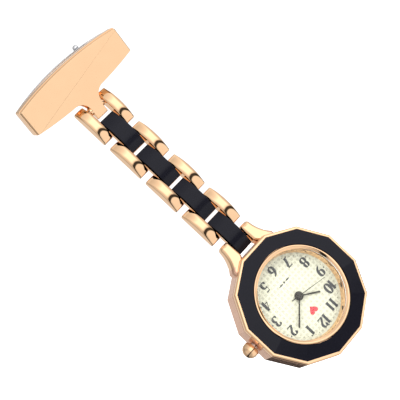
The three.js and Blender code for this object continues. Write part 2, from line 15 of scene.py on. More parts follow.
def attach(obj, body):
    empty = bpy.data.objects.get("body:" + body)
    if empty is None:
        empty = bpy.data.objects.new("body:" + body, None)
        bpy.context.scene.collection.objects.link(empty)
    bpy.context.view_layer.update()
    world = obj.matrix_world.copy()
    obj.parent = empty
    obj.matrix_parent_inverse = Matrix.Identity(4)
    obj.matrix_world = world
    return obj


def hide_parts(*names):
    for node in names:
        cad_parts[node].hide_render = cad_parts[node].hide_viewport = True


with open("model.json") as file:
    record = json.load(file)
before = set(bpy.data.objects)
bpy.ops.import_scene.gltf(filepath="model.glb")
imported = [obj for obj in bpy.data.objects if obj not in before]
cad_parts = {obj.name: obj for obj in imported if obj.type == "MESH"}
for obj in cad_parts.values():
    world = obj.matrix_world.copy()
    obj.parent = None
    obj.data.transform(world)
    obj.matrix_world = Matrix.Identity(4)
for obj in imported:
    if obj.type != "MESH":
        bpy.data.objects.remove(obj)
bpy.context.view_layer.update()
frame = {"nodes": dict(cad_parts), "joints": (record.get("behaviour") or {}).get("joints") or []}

MM = 0.001
JOINTS = {joint["name"]: joint for joint in frame["joints"]}
NODES = frame["nodes"]


def joint_place(name):
    return Vector(JOINTS[name]["pos_m"]) / MM


# ---- sizes that come from the frame ----

LINK_PAIRS = 4
CHAIN_HINGES = []
for pair in range(1, LINK_PAIRS + 1):
    CHAIN_HINGES.append(joint_place(f"outer_links_{pair}_hinge").z)
    CHAIN_HINGES.append(joint_place(f"centre_link_{pair}_hinge").z)
LUG_PIN_Z = joint_place("watch_head_hinge").z
HINGE_SPACING = CHAIN_HINGES[0] - CHAIN_HINGES[1]
HEAD = joint_place("minute_hand_turn")
STEM = joint_place("crown_turn")
PIN_HINGE_X = joint_place("brooch_pin_swing").x
CATCH_X = joint_place("safety_catch_turn").x
pin_axis = JOINTS["brooch_pin_swing"]["axis"]
BROOCH_LEAN = math.atan2(-pin_axis[1], pin_axis[2])

# ---- sizes that repeat the CAD's driving dimensions ----

RUNNING_GAP = 0.05
LINK_END = 1.95
CENTRE_END = 2.27
OUTER_INNER = 2.15
OUTER_WIDTH = 2.5
CENTRE_WIDTH = 3.9
PIN_RADIUS = 0.45
PIN_HOLE = PIN_RADIUS + RUNNING_GAP
CASE_FLATS = 28.7
ENAMEL_FLATS = 27.3
RING_OUTER = 10.7
RING_OPENING = 9.8
RING_SEAT = 10.3
CRYSTAL_RADIUS = 10.0
CASE_BORE = 11.4
RING_FRONT = -3.75
BEZEL_FRONT = -3.4
BEZEL_BACK = -2.25
CASE_FRONT = -2.2
DIAL_FRONT = -0.95
CASE_BACK_FRONT = 3.0
CASE_BACK_FACE = 3.9
BAR_LENGTH = 28.6
BAR_END_HEIGHT = 6.4
BAR_TOP_RISE = 1.2
BAR_BOTTOM_DROP = 1.1
BAR_BACK = -2.3
BAR_FRONT = -4.7
BAR_MIDDLE = -0.9
TONGUE_END = -7.3
KNUCKLE_RADIUS = 0.95
KNUCKLE_WIDTH = 3.8

BROOCH = Matrix.Rotation(BROOCH_LEAN, 4, "X")
BROOCH_BAR = BROOCH @ Matrix.Translation((0, 0, BAR_MIDDLE))
WATCH = Matrix.Translation(HEAD)
SIDES = 12
CORNER_RATIO = 1 / math.cos(math.pi / SIDES)

# ---- outlines: lists of (a, b) points, anticlockwise ----


def quadratic(start, control, end, steps=12):
    """Points of a quadratic curve, without its start."""
    points = []
    for i in range(1, steps + 1):
        t = i / steps
        a, b, c = (1 - t) ** 2, 2 * t * (1 - t), t * t
        points.append(tuple(a * s + b * k + c * e for s, k, e in zip(start, control, end)))
    return points


def arc(centre, radii, start, end, steps=16):
    """Points of an arc of an ellipse, from one angle to another, in degrees."""
    points = []
    for i in range(steps + 1):
        angle = math.radians(start + (end - start) * i / steps)
        points.append((centre[0] + radii[0] * math.cos(angle), centre[1] + radii[1] * math.sin(angle)))
    return points


def circle(radius, steps=48, centre=(0, 0)):
    return arc(centre, (radius, radius), 0, 360, steps)[:-1]


def area(points):
    total = 0
    for (ax, ay), (bx, by) in zip(points, points[1:] + points[:1]):
        total += ax * by - bx * ay
    return total / 2


def inset(points, distance):
    """The outline moved inwards by a distance, corner by corner."""
    if abs(distance) < 1e-9:
        return list(points)
    moved = []
    count = len(points)
    for i, point in enumerate(points):
        before = Vector(point) - Vector(points[i - 1])
        after = Vector(points[(i + 1) % count]) - Vector(point)
        before.normalize()
        after.normalize()
        normal = Vector((-before.y - after.y, before.x + after.x))
        normal.normalize()
        spread = max(0.5, normal.dot(Vector((-before.y, before.x))))
        moved.append(tuple(Vector(point) + normal * distance / spread))
    return moved


# ---- meshes: every builder returns (vertices, faces) ----


def loft(rings, capped=True):
    """A closed skin over rings that all have the same number of points."""
    count = len(rings[0])
    vertices = [vertex for ring in rings for vertex in ring]
    faces = []
    for r in range(len(rings) - 1):
        for i in range(count):
            j = (i + 1) % count
            faces.append((r * count + i, r * count + j, (r + 1) * count + j, (r + 1) * count + i))
    if capped:
        last = (len(rings) - 1) * count
        faces.append(tuple(reversed(range(count))))
        faces.append(tuple(last + i for i in range(count)))
    else:
        last = (len(rings) - 1) * count
        for i in range(count):
            j = (i + 1) % count
            faces.append((last + i, last + j, j, i))
    return vertices, faces


def rounded(start, end, radius_start, radius_end, steps=4):
    """(inset, depth) levels of a plate whose two edges are rounded."""
    direction = 1 if end > start else -1
    levels = []
    for i in range(steps + 1):
        angle = (math.pi / 2) * i / steps
        along = direction * radius_start * (1 - math.cos(angle))
        levels.append((radius_start * (1 - math.sin(angle)), start + along))
    for i in range(steps + 1):
        angle = (math.pi / 2) * i / steps
        along = direction * radius_end * (1 - math.sin(angle))
        levels.append((radius_end * (1 - math.cos(angle)), end - along))
    if radius_start == 0:
        levels = [(0, start)] + levels[steps + 1:]
    if radius_end == 0:
        levels = levels[: -steps - 1] + [(0, end)]
    return levels


def plate(outline, levels):
    """An outline in x and z that is built up along y, through (inset, y) levels."""
    rings = []
    for distance, y in levels:
        rings.append([(x, y, z) for x, z in inset(outline, distance)])
    return loft(rings)


def side_plate(outline, levels):
    """An outline in y and z that is built up along x, through (inset, x) levels."""
    rings = []
    for distance, x in levels:
        rings.append([(x, y, z) for y, z in inset(outline, distance)])
    return loft(rings)


def turned(section, steps=96):
    """A section of (radius, y) points turned about the Y axis. Points on the axis close it."""
    vertices = []
    starts = []
    for radius, y in section:
        starts.append(len(vertices))
        if radius < 1e-6:
            vertices.append((0, y, 0))
        else:
            for i in range(steps):
                angle = 2 * math.pi * i / steps
                vertices.append((radius * math.sin(angle), y, radius * math.cos(angle)))
    faces = []
    closed = all(radius > 1e-6 for radius, _ in section)
    pairs = list(zip(range(len(section) - 1), range(1, len(section))))
    if closed:
        pairs.append((len(section) - 1, 0))
    for a, b in pairs:
        for i in range(steps):
            j = (i + 1) % steps
            first = [starts[a]] if section[a][0] < 1e-6 else [starts[a] + i, starts[a] + j]
            second = [starts[b]] if section[b][0] < 1e-6 else [starts[b] + j, starts[b] + i]
            face = tuple(first + second)
            if len(face) > 2:
                faces.append(face)
    return vertices, faces


def rod(start, end, radius, steps=32):
    """A round bar along x."""
    return side_plate(circle(radius, steps), rounded(start, end, 0.03, 0.03, 2))


def joined(*parts):
    """Several meshes as one list of vertices and one of faces."""
    vertices = []
    faces = []
    for part_vertices, part_faces in parts:
        first = len(vertices)
        vertices += part_vertices
        faces += [tuple(first + i for i in face) for face in part_faces]
    return vertices, faces


def moved(part, matrix):
    vertices, faces = part
    return [tuple(matrix @ Vector(vertex)) for vertex in vertices], faces


def bare_object(name, part, place=None):
    vertices, faces = part
    place = place or Matrix.Identity(4)
    mesh = bpy.data.meshes.new(name)
    mesh.from_pydata([tuple((place @ Vector(vertex)) * MM) for vertex in vertices], [], faces)
    mesh.validate()
    thing = bpy.data.objects.new(name, mesh)
    bpy.context.scene.collection.objects.link(thing)
    faces_outwards(mesh)
    return thing


def faces_outwards(mesh):
    work = bmesh.new()
    work.from_mesh(mesh)
    bmesh.ops.recalc_face_normals(work, faces=work.faces)
    work.to_mesh(mesh)
    work.free()


def boolean(thing, part, operation, place=None):
    """Cuts or joins a mesh with another one, for good."""
    tool = bare_object("tool", part, place)
    modifier = thing.modifiers.new("boolean", "BOOLEAN")
    modifier.operation = operation
    modifier.solver = "EXACT"
    modifier.object = tool
    bpy.context.view_layer.update()
    depsgraph = bpy.context.evaluated_depsgraph_get()
    made = bpy.data.meshes.new_from_object(thing.evaluated_get(depsgraph))
    thing.modifiers.clear()
    thing.data = made
    tool_mesh = tool.data
    bpy.data.objects.remove(tool)
    bpy.data.meshes.remove(tool_mesh)


def merge_flat_faces(mesh):
    """Takes out the doubled points and needless edges that cutting and joining leave in a flat face."""
    work = bmesh.new()
    work.from_mesh(mesh)
    bmesh.ops.remove_doubles(work, verts=work.verts, dist=0.002 * MM)
    bmesh.ops.dissolve_limit(work, angle_limit=math.radians(0.4), verts=work.verts, edges=work.edges)
    work.to_mesh(mesh)
    work.free()


def make_piece(name, part, material, body, replaces=(), place=None, sharp=32, cuts=(), joins=()):
    """One piece of the watch, in place, riding on its body."""
    thing = bare_object(name, part, place)
    for tool in joins:
        boolean(thing, tool, "UNION", place)
    for tool in cuts:
        boolean(thing, tool, "DIFFERENCE", place)
    mesh = thing.data
    if joins or cuts:
        merge_flat_faces(mesh)
    mesh.name = name
    mesh.polygons.foreach_set("use_smooth", [True] * len(mesh.polygons))
    mesh.set_sharp_from_angle(angle=math.radians(sharp))
    weighted = thing.modifiers.new("flat faces stay flat", "WEIGHTED_NORMAL")
    weighted.keep_sharp = True
    weighted.weight = 100
    mesh.materials.clear()
    mesh.materials.append(material)
    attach(thing, body)
    if replaces:
        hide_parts(*replaces)
    return thing


# ---- materials ----


class Nodes:
    """A material's node tree, with short ways to add and join nodes."""

    def __init__(self, name):
        self.material = bpy.data.materials.new(name)
        self.material.use_nodes = True
        self.tree = self.material.node_tree
        self.shader = self.tree.nodes["Principled BSDF"]
        self.place = self.add("ShaderNodeTexCoord").outputs["Object"]

    def add(self, kind, inputs=None, **settings):
        node = self.tree.nodes.new(kind)
        for key, value in settings.items():
            setattr(node, key, value)
        for key, value in (inputs or {}).items():
            self.put(node.inputs[key], value)
        return node

    def put(self, socket, value):
        if isinstance(value, bpy.types.NodeSocket):
            self.tree.links.new(value, socket)
        else:
            socket.default_value = value

    def set(self, **inputs):
        for key, value in inputs.items():
            self.put(self.shader.inputs[key.replace("_", " ")], value)

    def noise(self, size, detail=3, stretch=(1, 1, 1), roughness=0.5):
        """Noise whose blotches are about a size in millimetres."""
        scaled = self.add("ShaderNodeMapping", {"Vector": self.place, "Scale": stretch})
        inputs = {"Vector": scaled.outputs[0], "Scale": 1 / (size * MM)}
        inputs.update({"Detail": detail, "Roughness": roughness})
        return self.add("ShaderNodeTexNoise", inputs).outputs["Fac"]

    def spread(self, value, low, high, start=0.35, end=0.65):
        """A value between start and end, spread between low and high."""
        inputs = {"Value": value, "From Min": start, "From Max": end, "To Min": low, "To Max": high}
        return self.add("ShaderNodeMapRange", inputs).outputs["Result"]

    def blend(self, factor, first, second):
        node = self.add("ShaderNodeMix", {"Factor": factor}, data_type="RGBA")
        self.put(node.inputs[6], first)
        self.put(node.inputs[7], second)
        return node.outputs[2]

    def bump(self, height, strength, depth, before=None):
        """A bump of a depth in millimetres."""
        inputs = {"Height": height, "Strength": strength, "Distance": depth * MM}
        if before:
            inputs["Normal"] = before
        return self.add("ShaderNodeBump", inputs).outputs["Normal"]


def polished_metal(name, colour, darker, roughness, scratches=0.08, waviness=0.003):
    """Plated metal: slow colour drift, hairline scratches, and a surface that isn't quite even."""
    nodes = Nodes(name)
    drift = nodes.spread(nodes.noise(6.0, 2), 0, 1)
    nodes.set(
        Base_Color=nodes.blend(drift, (*darker, 1), (*colour, 1)),
        Metallic=1.0,
        Roughness=nodes.spread(nodes.noise(0.8, 3), roughness * 0.85, roughness * 1.2),
    )
    hairlines = nodes.noise(0.12, 2, (1, 1, 10))
    waves = nodes.bump(nodes.noise(3.0, 0), 1.0, waviness)
    nodes.set(Normal=nodes.bump(hairlines, scratches, 0.0004, waves))
    return nodes.material


ROSE_GOLD = polished_metal("rose_gold_polished", (0.985, 0.65, 0.39), (0.97, 0.63, 0.375), 0.05)
# The same gold with a satin finish. Its higher roughness is real; its darker colour is painted shade for the
# case band's sides.
SATIN_GOLD_WITH_PAINTED_SHADE = polished_metal("satin_gold_with_painted_shade", (0.86, 0.53, 0.37), (0.83, 0.51, 0.36), 0.26)
STEEL = polished_metal("steel_polished", (0.78, 0.78, 0.80), (0.70, 0.70, 0.73), 0.16)


def brushed_steel():
    nodes = Nodes("steel_brushed")
    grain = nodes.noise(0.07, 3, (1, 1, 0.02))
    nodes.set(
        Base_Color=nodes.blend(nodes.noise(2.5), (0.60, 0.59, 0.59, 1), (0.68, 0.67, 0.66, 1)),
        Metallic=1.0,
        Roughness=nodes.spread(grain, 0.30, 0.38),
        Normal=nodes.bump(grain, 0.25, 0.001),
    )
    return nodes.material


def black_enamel():
    """Poured enamel: a deep black with a slightly uneven glossy surface and a few fine specks."""
    nodes = Nodes("black_enamel")
    specks = nodes.spread(nodes.noise(0.12, 2), 0, 1, 0.74, 0.82)
    nodes.set(
        Base_Color=nodes.blend(specks, (0.004, 0.004, 0.006, 1), (0.016, 0.016, 0.02, 1)),
        Roughness=nodes.spread(nodes.noise(0.8, 3), 0.06, 0.12),
        IOR=1.5,
        Specular_IOR_Level=0.13,
        Normal=nodes.bump(nodes.noise(2.5, 0), 1.0, 0.006),
    )
    return nodes.material


DIAL_GRID = 1.0


def dial_lacquer():
    """Warm white lacquer over a stamped grid of small sunken squares, each painted a touch greyer as painted
    shade in its recess.
    """
    nodes = Nodes("dial_lacquer")
    upright = nodes.add("ShaderNodeMapping", {"Vector": nodes.place, "Rotation": (math.pi / 2, 0, 0)})
    inputs = {"Vector": upright.outputs[0], "Scale": 1 / (DIAL_GRID * MM), "Randomness": 0.0}
    grid = nodes.add("ShaderNodeTexVoronoi", inputs, voronoi_dimensions="2D", distance="CHEBYCHEV")
    sunken_square_shade = nodes.spread(grid.outputs["Distance"], 1, 0, 0.26, 0.34)
    cloud = nodes.blend(nodes.noise(2.2, 3), (0.44, 0.43, 0.335, 1), (0.46, 0.45, 0.355, 1))
    nodes.set(
        # The greyer colour in each sunken square is painted shade; the same mask also sinks the squares
        # through the bump.
        Base_Color=nodes.blend(sunken_square_shade, cloud, (0.36, 0.35, 0.275, 1)),
        Roughness=nodes.spread(nodes.noise(0.3), 0.35, 0.5),
        Normal=nodes.bump(sunken_square_shade, 1.0, -0.03),
    )
    return nodes.material


def paint(name, colour, lighter, roughness=0.35):
    """Printed or sprayed paint, with fine grain."""
    nodes = Nodes(name)
    nodes.set(
        Base_Color=nodes.blend(nodes.noise(0.25, 3), (*colour, 1), (*lighter, 1)),
        Roughness=nodes.spread(nodes.noise(0.15), roughness * 0.8, roughness * 1.2),
        Normal=nodes.bump(nodes.noise(0.06, 2), 0.3, 0.002),
    )
    return nodes.material


def moulded(name, colour, lighter, roughness, grain=0.08):
    """Moulded plastic, rubber or coated board, with a fine matte grain."""
    nodes = Nodes(name)
    fine = nodes.noise(grain, 4)
    nodes.set(
        Base_Color=nodes.blend(nodes.noise(1.2), (*colour, 1), (*lighter, 1)),
        Roughness=nodes.spread(fine, roughness * 0.85, roughness * 1.15),
        Normal=nodes.bump(fine, 0.4, 0.006),
    )
    return nodes.material


def wound_copper():
    """Fine enamelled wire, wound round a core along x."""
    nodes = Nodes("copper_winding")
    wave = nodes.add("ShaderNodeTexWave", {"Vector": nodes.place, "Scale": 1400.0, "Distortion": 0.3})
    turns = wave.outputs["Fac"]
    nodes.set(
        Base_Color=nodes.blend(turns, (0.36, 0.13, 0.05, 1), (0.72, 0.34, 0.16, 1)),
        Metallic=1.0,
        Roughness=nodes.spread(turns, 0.45, 0.25),
        Normal=nodes.bump(turns, 0.8, 0.02),
    )
    return nodes.material


def crystal_glass():
    """Clear glass: see-through, with a reflection that grows towards its edges."""
    nodes = Nodes("crystal_glass")
    nodes.set(
        Base_Color=(1, 1, 1, 1),
        Metallic=1.0,
        Roughness=nodes.spread(nodes.noise(4.0), 0.0, 0.02),
    )
    clear = nodes.add("ShaderNodeBsdfTransparent", {"Color": (0.985, 0.99, 0.985, 1)})
    slant = nodes.add("ShaderNodeLayerWeight", {"Blend": 0.1}).outputs["Facing"]
    share = nodes.spread(slant, 0.01, 0.7, 0.01, 0.8)
    mix = nodes.add("ShaderNodeMixShader", {0: share, 1: clear.outputs[0], 2: nodes.shader.outputs[0]})
    output = nodes.tree.nodes["Material Output"]
    nodes.put(output.inputs["Surface"], mix.outputs[0])
    return nodes.material


ENAMEL = black_enamel()
BRUSHED = brushed_steel()
LACQUER = dial_lacquer()
GLASS = crystal_glass()
PRINT = paint("dial_print", (0.02, 0.02, 0.022), (0.05, 0.05, 0.055))
HAND_PAINT = paint("hand_paint", (0.016, 0.014, 0.011), (0.03, 0.026, 0.02), 0.55)
RED = paint("red_enamel", (0.70, 0.02, 0.03), (0.82, 0.05, 0.06), 0.25)
NYLON = moulded("white_nylon", (0.78, 0.77, 0.72), (0.86, 0.85, 0.81), 0.5)
RUBBER = moulded("black_rubber", (0.015, 0.015, 0.015), (0.035, 0.035, 0.035), 0.8)
BOARD = moulded("circuit_green", (0.02, 0.13, 0.06), (0.04, 0.20, 0.10), 0.4)
BRASS = polished_metal("movement_brass", (0.74, 0.58, 0.32), (0.64, 0.48, 0.25), 0.3, 0.8)
COPPER = wound_copper()

# ---- brooch ----


def bow_outline(shrink=0.0, extra_top=0.0):
    """Square ends with small round corners, and long edges that swell towards the middle."""
    half = BAR_LENGTH / 2 - shrink
    end = BAR_END_HEIGHT / 2 - shrink
    top = end + BAR_TOP_RISE + extra_top
    bottom = -end - BAR_BOTTOM_DROP
    corner = 0.5
    points = [(-half + corner, -end)]
    points += quadratic(points[-1], (-half / 2, bottom), (0, bottom))
    points += quadratic(points[-1], (half / 2, bottom), (half - corner, -end))
    points += quadratic(points[-1], (half, -end), (half, -end + corner), 5)
    points += [(half, end - corner)]
    points += quadratic(points[-1], (half, end), (half - corner, end), 5)
    points += quadratic(points[-1], (half / 2, top), (0, top))
    points += quadratic(points[-1], (-half / 2, top), (-half + corner, end))
    points += quadratic(points[-1], (-half, end), (-half, end - corner), 5)
    points += [(-half, -end + corner)]
    points += quadratic(points[-1], (-half, -end), (-half + corner, -end), 5)[:-1]
    return points


def cover_outline():
    """The bow with its tongue, which runs down to the knuckle."""
    half = BAR_LENGTH / 2
    end = BAR_END_HEIGHT / 2
    top = end + BAR_TOP_RISE
    bottom = -end - BAR_BOTTOM_DROP
    corner = 0.5
    root_half = 4.4
    neck_half = 1.75
    knuckle_top = TONGUE_END + KNUCKLE_RADIUS

    def lower_edge(x):
        share = (half - math.sqrt(half * half - 4 * corner * abs(x))) / (2 * corner)
        return -end + (bottom + end) * (1 - share * share)

    root = (root_half, lower_edge(root_half))
    right = [root]
    right += [(x, lower_edge(x)) for x in (5.5, 7, 8.5, 10, 11.5, 12.8)]
    right += [(half - corner, -end)]
    right += quadratic(right[-1], (half, -end), (half, -end + corner), 15)
    right += [(half, end - corner)]
    right += quadratic(right[-1], (half, end), (half - corner, end), 15)
    right += quadratic(right[-1], (half / 2, top), (0, top))
    neck = [(neck_half, TONGUE_END)]
    neck += [(neck_half, knuckle_top)]
    neck += quadratic(neck[-1], (neck_half + 0.5, -end - 1.0), root, 14)
    right = neck[:-1] + right
    left = [(-x, z) for x, z in reversed(right)]
    return right + left[1:]


def tip_outline():
    """The tongue's tip in (y, z) below the knuckle. Its front goes on in the plane of the bar's face."""
    back = 0.75
    corner = 0.45
    across = Vector((-math.cos(BROOCH_LEAN), -math.sin(BROOCH_LEAN))) * (KNUCKLE_RADIUS - 0.02)
    down = Vector((math.sin(BROOCH_LEAN), -math.cos(BROOCH_LEAN)))
    edge = tuple(across + down * 1.75)
    points = [(back, 0), (0, 0), tuple(across), edge]
    points += quadratic(edge, (edge[0] + 0.08, -CENTRE_END), (edge[0] + 0.35, -CENTRE_END), 5)
    points += [(back - corner, -CENTRE_END)]
    points += quadratic(points[-1], (back, -CENTRE_END), (back, -CENTRE_END + corner), 6)
    return points


def brooch_pieces():
    outline = cover_outline()
    wall = 0.6
    chamfer = 0.42
    rings = []
    edge_section = [(chamfer, 0), (0.22, 0.026), (0.20, 0.05)]
    edge_section += [(0.05, 0.62), (0.02, 0.70), (0, 0.78), (0, 1.0)]
    for distance, depth in edge_section:
        share = distance / chamfer
        ring = [(x + 0.25 * share, BAR_FRONT + depth, z - 0.38 * share) for x, z in inset(outline, distance)]
        rings.append(ring)
    cover = loft(rings)
    skirt_outline = bow_outline(0.012)
    skirt = plate(skirt_outline, [(0, BAR_FRONT + 0.5), (0, BAR_BACK)])
    hollow = plate(bow_outline(wall), [(0, BAR_FRONT + wall + 0.2), (0, BAR_BACK + 1)])
    hinge = joint_place("outer_links_1_hinge")
    local = BROOCH_BAR.inverted() @ hinge
    at_hinge = Matrix.Translation((0, local.y, local.z))
    half = KNUCKLE_WIDTH / 2
    knuckle = side_plate(circle(KNUCKLE_RADIUS, 72), rounded(-half, half, 0.15, 0.15, 3))
    tip = side_plate(tip_outline(), rounded(-1.45, 1.45, 0.08, 0.08))
    tip = moved(tip, Matrix.Rotation(-BROOCH_LEAN, 4, "X"))
    hole = rod(-half - 1, half + 1, PIN_HOLE)
    make_piece(
        "brooch_cover",
        cover,
        ROSE_GOLD,
        "brooch",
        ["brooch_bar"],
        BROOCH_BAR,
        joins=[skirt, moved(knuckle, at_hinge), moved(tip, at_hinge)],
        cuts=[hollow, moved(hole, at_hinge)],
        sharp=6.5,
    )
    back_plate = plate(bow_outline(0.1, 0.35), rounded(BAR_BACK + RUNNING_GAP, -1.8, 0.12, 0.06, 2))
    nodes = ["brooch_back_plate"]
    make_piece("brooch_plate", back_plate, STEEL, "brooch", nodes, BROOCH_BAR)


def catch_lever():
    reach = 3.4
    knob = 0.68
    section = [(knob * math.sin(math.pi * i / 24), -knob * math.cos(math.pi * i / 24)) for i in range(25)]
    section[0] = (0, -knob)
    section[-1] = (0, knob)
    turn = Matrix.Rotation(math.pi / 2, 4, "X")
    ball = moved(turned(section, 32), Matrix.Translation((0, 0, reach)) @ turn)
    arm_outline = [(-0.45, 1.2), (0.45, 1.2), (0.3, reach), (-0.3, reach)]
    arm = plate(arm_outline, rounded(-0.2, 0.2, 0.06, 0.06, 2))
    place = BROOCH @ Matrix.Translation((CATCH_X, 0, 0))
    nodes = ["catch_lever"]
    make_piece("catch_knob", ball, STEEL, "safety_catch", nodes, place, joins=[arm])


def pin_wire():
    radius = 0.35
    length = 9.4 - PIN_HINGE_X
    point = 2.6
    section = [(0, 0), (radius, 0)]
    section += [(radius, length - point)]
    section += [(radius * (1 - (i / 8) ** 1.5) + 0.02, length - point + point * i / 8) for i in range(1, 9)]
    section += [(0, length + 0.02)]
    wire = moved(turned(section, 24), Matrix.Rotation(-math.pi / 2, 4, "Z"))
    eye = plate(circle(0.85, 40), rounded(-0.55, 0.55, 0.1, 0.1, 2))
    upright = Matrix.Rotation(math.pi / 2, 4, "X")
    hole = moved(plate(circle(0.37, 24), [(0, -2), (0, 2)]), upright)
    place = BROOCH @ Matrix.Translation((PIN_HINGE_X, 0, 0))
    make_piece(
        "pin_needle",
        wire,
        STEEL,
        "brooch_pin",
        ["pin_wire"],
        place,
        joins=[moved(eye, upright)],
        cuts=[hole],
    )


brooch_pieces()
catch_lever()
pin_wire()

# ---- chain ----

OUTER_HALF = HINGE_SPACING / 2 + LINK_END
CENTRE_HALF = HINGE_SPACING / 2 + CENTRE_END
END_FRONT = -0.35


def link_outline(half, back, end_front, crown_front, front_corner=0.45):
    """The side view of a link in (y, z): a flat back, and a front that arches from end to end."""
    corner = 0.45
    points = [(back, half - corner)]
    points += quadratic(points[-1], (back, half), (back - corner, half), 6)
    points += [(end_front + front_corner, half)]
    points += quadratic(points[-1], (end_front, half), (end_front - 0.1, half - corner), 6)
    points += quadratic(points[-1], (crown_front, half * 0.5), (crown_front, 0), 16)
    points += quadratic(points[-1], (crown_front, -half * 0.5), (end_front - 0.1, -half + corner), 16)
    points += quadratic(points[-1], (end_front, -half), (end_front + front_corner, -half), 6)
    points += [(back - corner, -half)]
    points += quadratic(points[-1], (back, -half), (back, -half + corner), 6)
    return points


def pillow(outline, width, edge, crown, steps=12):
    """A link built up across its width: its front falls away by the crown towards both sides."""
    half = width / 2
    front = min(y for y, _ in outline)
    back = max(y for y, _ in outline)
    places = [-half + edge * (1 - math.cos(math.pi / 2 * i / 4)) for i in range(5)]
    middle = [-half + edge + (width - 2 * edge) * i / steps for i in range(1, steps)]
    places = places + middle + [-x for x in reversed(places)]
    rings = []
    for x in places:
        into = max(0.0, abs(x) - (half - edge))
        shrink = edge - math.sqrt(max(0.0, edge * edge - into * into))
        ring = []
        for y, z in inset(outline, shrink):
            share = (back - y) / (back - front)
            ring.append((x, y + crown * share * (x / half) ** 2, z))
        rings.append(ring)
    return loft(rings)


def pin_holes(length, middle=0.0):
    holes = []
    for z in (HINGE_SPACING / 2, -HINGE_SPACING / 2):
        hole = rod(middle - length / 2, middle + length / 2, PIN_HOLE, 24)
        holes.append(moved(hole, Matrix.Translation((0, 0, z))))
    return holes


def outer_links(pair, z):
    outline = link_outline(OUTER_HALF, 1.1, END_FRONT, -1.75)
    for side, word in ((-1, "left"), (1, "right")):
        x = side * (OUTER_INNER + OUTER_WIDTH / 2)
        link = pillow(outline, OUTER_WIDTH, 0.25, 0.45)
        blind = 1.7
        holes = pin_holes(blind + 1, -side * (OUTER_WIDTH / 2 - blind / 2 + 0.5))
        make_piece(
            f"gold_link_{word}_{pair}",
            link,
            ROSE_GOLD,
            f"outer_links_{pair}",
            [f"outer_link_{word}_{pair}"],
            Matrix.Translation((x, 0, z)),
            cuts=holes,
        )


def centre_link(pair, z):
    """A gold link, and the black enamel over its whole arched face."""
    place = Matrix.Translation((0, 0, z))
    body = f"centre_link_{pair}"
    depth = 0.3
    crown_front = -1.4
    back = 0.85
    gold = link_outline(CENTRE_HALF, back, END_FRONT + depth, crown_front + depth, 0.25)
    link = pillow(gold, CENTRE_WIDTH, 0.04, 0.05)
    holes = pin_holes(CENTRE_WIDTH + 1)
    nodes = [f"centre_link_{pair}"]
    make_piece(f"centre_gold_{pair}", link, ROSE_GOLD, body, nodes, place, cuts=holes)
    whole = link_outline(CENTRE_HALF, back, END_FRONT, crown_front)
    face = [(y, z) for y, z in whole if y <= END_FRONT + depth - 0.01]
    under = [(y + depth - 0.02, z) for y, z in reversed(face) if abs(z) < CENTRE_HALF - 0.5]
    tile = pillow(face + under, CENTRE_WIDTH, 0.1, 0.05)
    nodes = [f"centre_enamel_{pair}"]
    make_piece(f"centre_black_{pair}", tile, ENAMEL, body, nodes, place)


for pair in range(1, LINK_PAIRS + 1):
    upper = CHAIN_HINGES[2 * pair - 2]
    outer_links(pair, upper - HINGE_SPACING / 2)
    centre_link(pair, upper - 1.5 * HINGE_SPACING)

# ---- watch head ----

FLAT_RADIUS = CASE_FLATS / 2


def twelve_ring(flat_radius, y):
    corner = flat_radius * CORNER_RATIO
    ring = []
    for k in range(SIDES):
        angle = math.radians(15 + 30 * k)
        ring.append((corner * math.sin(angle), y, corner * math.cos(angle)))
    return ring


def twelve_sided(section):
    """A section of (flat radius, y) points carried round twelve sides and closed at both ends."""
    return loft([twelve_ring(radius, y) for radius, y in section])


def lug(side):
    inner = OUTER_INNER
    points = [(inner, 1.2)]
    points += quadratic(points[-1], (inner, 1.85), (2.8, 1.85), 6)
    points += quadratic((3.7, 1.85), (4.55, 1.85), (4.6, 1.0), 8)
    points += quadratic(points[-1], (4.8, -1.6), (6.6, -3.6), 14)
    points += [(6.6, -5.2), (3.0, -5.2), (3.0, -3.4)]
    points += quadratic((3.0, -3.4), (2.2, -2.8), (inner, -2.0), 6)
    outline = [(side * x, z) for x, z in points]
    if area(outline) < 0:
        outline.reverse()
    tip = 1.35
    vertices, faces = plate(outline, rounded(-tip, tip, 0.75, 0.75, 6))
    tapered = []
    for x, y, z in vertices:
        from_tip = (1.85 - z) / 7.05
        tapered.append((x, y * (1 + 0.6 * from_tip), z + LUG_PIN_Z - HEAD.z))
    return tapered, faces


def case_middle():
    back = CASE_BACK_FRONT
    soft = 0.1
    band = twelve_sided([
        (FLAT_RADIUS - 0.25, CASE_FRONT),
        (FLAT_RADIUS - soft, CASE_FRONT + 0.06),
        (FLAT_RADIUS, CASE_FRONT + 0.22),
        (FLAT_RADIUS, back - 0.6),
        (FLAT_RADIUS - 0.06, back - 0.5),
        (FLAT_RADIUS - 0.5, back),
    ])
    bore = turned([(0, CASE_FRONT - 1), (CASE_BORE, CASE_FRONT - 1), (CASE_BORE, back + 1), (0, back + 1)])
    lug_pin = moved(rod(-3.8, 3.8, PIN_HOLE), Matrix.Translation((0, 0, LUG_PIN_Z - HEAD.z)))
    at_stem = Matrix.Translation((0, STEM.y, 0))
    tube_hole = moved(rod(-FLAT_RADIUS - 3, -FLAT_RADIUS + 3, 1.0), at_stem)
    # The band's sides take the satin gold, whose darker colour is painted shade; the lugs keep the polished
    # gold.
    case = make_piece(
        "case_band",
        band,
        SATIN_GOLD_WITH_PAINTED_SHADE,
        "watch_head",
        ["case_middle"],
        WATCH,
        joins=[lug(1), lug(-1)],
        cuts=[bore, lug_pin, tube_hole],
        sharp=20,
    )
    case.data.materials.append(ROSE_GOLD)
    lugs_from = (HEAD.z + FLAT_RADIUS + 0.01) * MM
    for face in case.data.polygons:
        if face.center.z > lugs_from:
            face.material_index = 1


